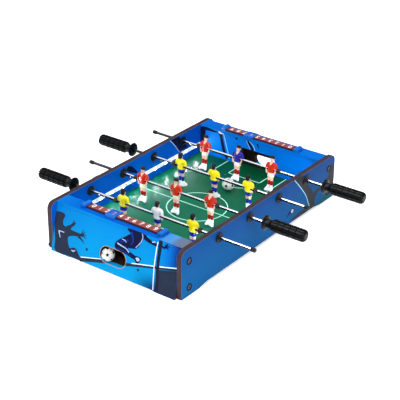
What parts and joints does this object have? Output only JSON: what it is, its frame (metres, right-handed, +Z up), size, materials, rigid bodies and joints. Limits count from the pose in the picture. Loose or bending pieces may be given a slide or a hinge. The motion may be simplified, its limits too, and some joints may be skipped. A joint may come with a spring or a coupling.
{
  "type": "tabletop foosball",
  "caption": "Tabletop football game: blue box with a lit green pitch, sliding and turning rods of players, sliding score counters and ball return slots.",
  "frame": {"origin": "bottom centre of the game, on the surface that it stands on", "axes": "+X along the table towards the right goal, +Y along the rods towards the rear side panel, +Z up"},
  "size_m": [0.5228, 0.578, 0.1079],
  "materials": {
    "side_panel": "satin printed film over fibreboard, brown edge banding",
    "end_panel": "satin printed film over fibreboard",
    "goal_wall": "satin printed film over fibreboard",
    "top_rail": "glossy light blue film over fibreboard",
    "playing_field": "glossy green print with white lines",
    "base_board": "bare hardboard",
    "led_strip": "clear lens over white light-emitting diodes",
    "battery_box": "moulded, fine texture",
    "score_rail": "red-brown strip with white numbers, blue stops",
    "bushing": "moulded nylon",
    "bumper": "matte",
    "rod": "polished",
    "handle": "ribbed grip",
    "end_cap": "matte",
    "player_red": "painted red shirt and socks, white shorts",
    "player_yellow": "painted yellow shirt, blue shorts and socks",
    "player_blue": "painted blue keeper's shirt, white shorts, red socks",
    "player_white": "painted white keeper's shirt, blue shorts and socks",
    "score_slider": "moulded blue",
    "light_switch": "moulded",
    "ball": "white with black patches"
  },
  "bodies": {
    "root": {"side_panel_front": "side_panel", "side_panel_rear": "side_panel", "end_panel_left": "end_panel", "end_panel_right": "end_panel", "goal_wall_left": "goal_wall", "goal_wall_right": "goal_wall", "top_rail_left": "top_rail", "top_rail_right": "top_rail", "playing_field": "playing_field", "base_board": "base_board", "led_strip_front": "led_strip", "led_strip_rear": "led_strip", "battery_box": "battery_box", "score_rail_left": "score_rail", "score_rail_right": "score_rail", "bushing_1_front": "bushing", "bushing_1_rear": "bushing", "bushing_2_front": "bushing", "bushing_2_rear": "bushing", "bushing_3_front": "bushing", "bushing_3_rear": "bushing", "bushing_4_front": "bushing", "bushing_4_rear": "bushing"},
    "row_1": {"bumper_1_front": "bumper", "bumper_1_rear": "bumper"},
    "rod_1": {"rod_1": "rod", "handle_1": "handle", "end_cap_1": "end_cap", "player_1_front": "player_red", "player_1_middle": "player_blue", "player_1_rear": "player_red"},
    "row_2": {"bumper_2_front": "bumper", "bumper_2_rear": "bumper"},
    "rod_2": {"rod_2": "rod", "handle_2": "handle", "end_cap_2": "end_cap", "player_2_front": "player_yellow", "player_2_middle": "player_yellow", "player_2_rear": "player_yellow"},
    "row_3": {"bumper_3_front": "bumper", "bumper_3_rear": "bumper"},
    "rod_3": {"rod_3": "rod", "handle_3": "handle", "end_cap_3": "end_cap", "player_3_front": "player_red", "player_3_middle": "player_red", "player_3_rear": "player_red"},
    "row_4": {"bumper_4_front": "bumper", "bumper_4_rear": "bumper"},
    "rod_4": {"rod_4": "rod", "handle_4": "handle", "end_cap_4": "end_cap", "player_4_front": "player_yellow", "player_4_middle": "player_white", "player_4_rear": "player_yellow"},
    "score_slider_left": {"score_slider_left": "score_slider"},
    "score_slider_right": {"score_slider_right": "score_slider"},
    "light_switch": {"light_switch": "light_switch"},
    "ball_field": {"ball_field": "ball"},
    "ball_slot": {"ball_slot": "ball"}
  },
  "joints": [
    {"name": "rod_1_slide", "type": "slide", "parent": "root", "child": "row_1", "axis": [0, 1, 0], "range_m": [-0.0465, 0.0355]},
    {"name": "rod_1_spin", "type": "hinge", "parent": "row_1", "child": "rod_1", "pos_m": [0.1449, 0.0055, 0.0785], "axis": [0, 1, 0], "continuous": true},
    {"name": "rod_2_slide", "type": "slide", "parent": "root", "child": "row_2", "axis": [0, 1, 0], "range_m": [-0.0355, 0.0465]},
    {"name": "rod_2_spin", "type": "hinge", "parent": "row_2", "child": "rod_2", "pos_m": [0.0483, -0.0055, 0.0785], "axis": [0, 1, 0], "continuous": true},
    {"name": "rod_3_slide", "type": "slide", "parent": "root", "child": "row_3", "axis": [0, 1, 0], "range_m": [-0.055, 0.027]},
    {"name": "rod_3_spin", "type": "hinge", "parent": "row_3", "child": "rod_3", "pos_m": [-0.0483, 0.014, 0.0785], "axis": [0, 1, 0], "continuous": true},
    {"name": "rod_4_slide", "type": "slide", "parent": "root", "child": "row_4", "axis": [0, 1, 0], "range_m": [-0.024, 0.058]},
    {"name": "rod_4_spin", "type": "hinge", "parent": "row_4", "child": "rod_4", "pos_m": [-0.1449, -0.017, 0.0785], "axis": [0, 1, 0], "continuous": true},
    {"name": "score_left", "type": "slide", "parent": "root", "child": "score_slider_left", "axis": [0, 1, 0], "range_m": [-0.096, 0.048]},
    {"name": "score_right", "type": "slide", "parent": "root", "child": "score_slider_right", "axis": [0, 1, 0], "range_m": [-0.096, 0.048]},
    {"name": "light_switch", "type": "slide", "parent": "root", "child": "light_switch", "axis": [1, 0, 0], "range_m": [-0.005, 0]},
    {"name": "ball_field_roll", "type": "slide", "parent": "root", "child": "ball_field", "axis": [0, 1, 0], "range_m": [-0.125, 0.136]},
    {"name": "ball_slot_roll", "type": "slide", "parent": "root", "child": "ball_slot", "axis": [0, 1, 0], "range_m": [-0.031, 0]}
  ]
}
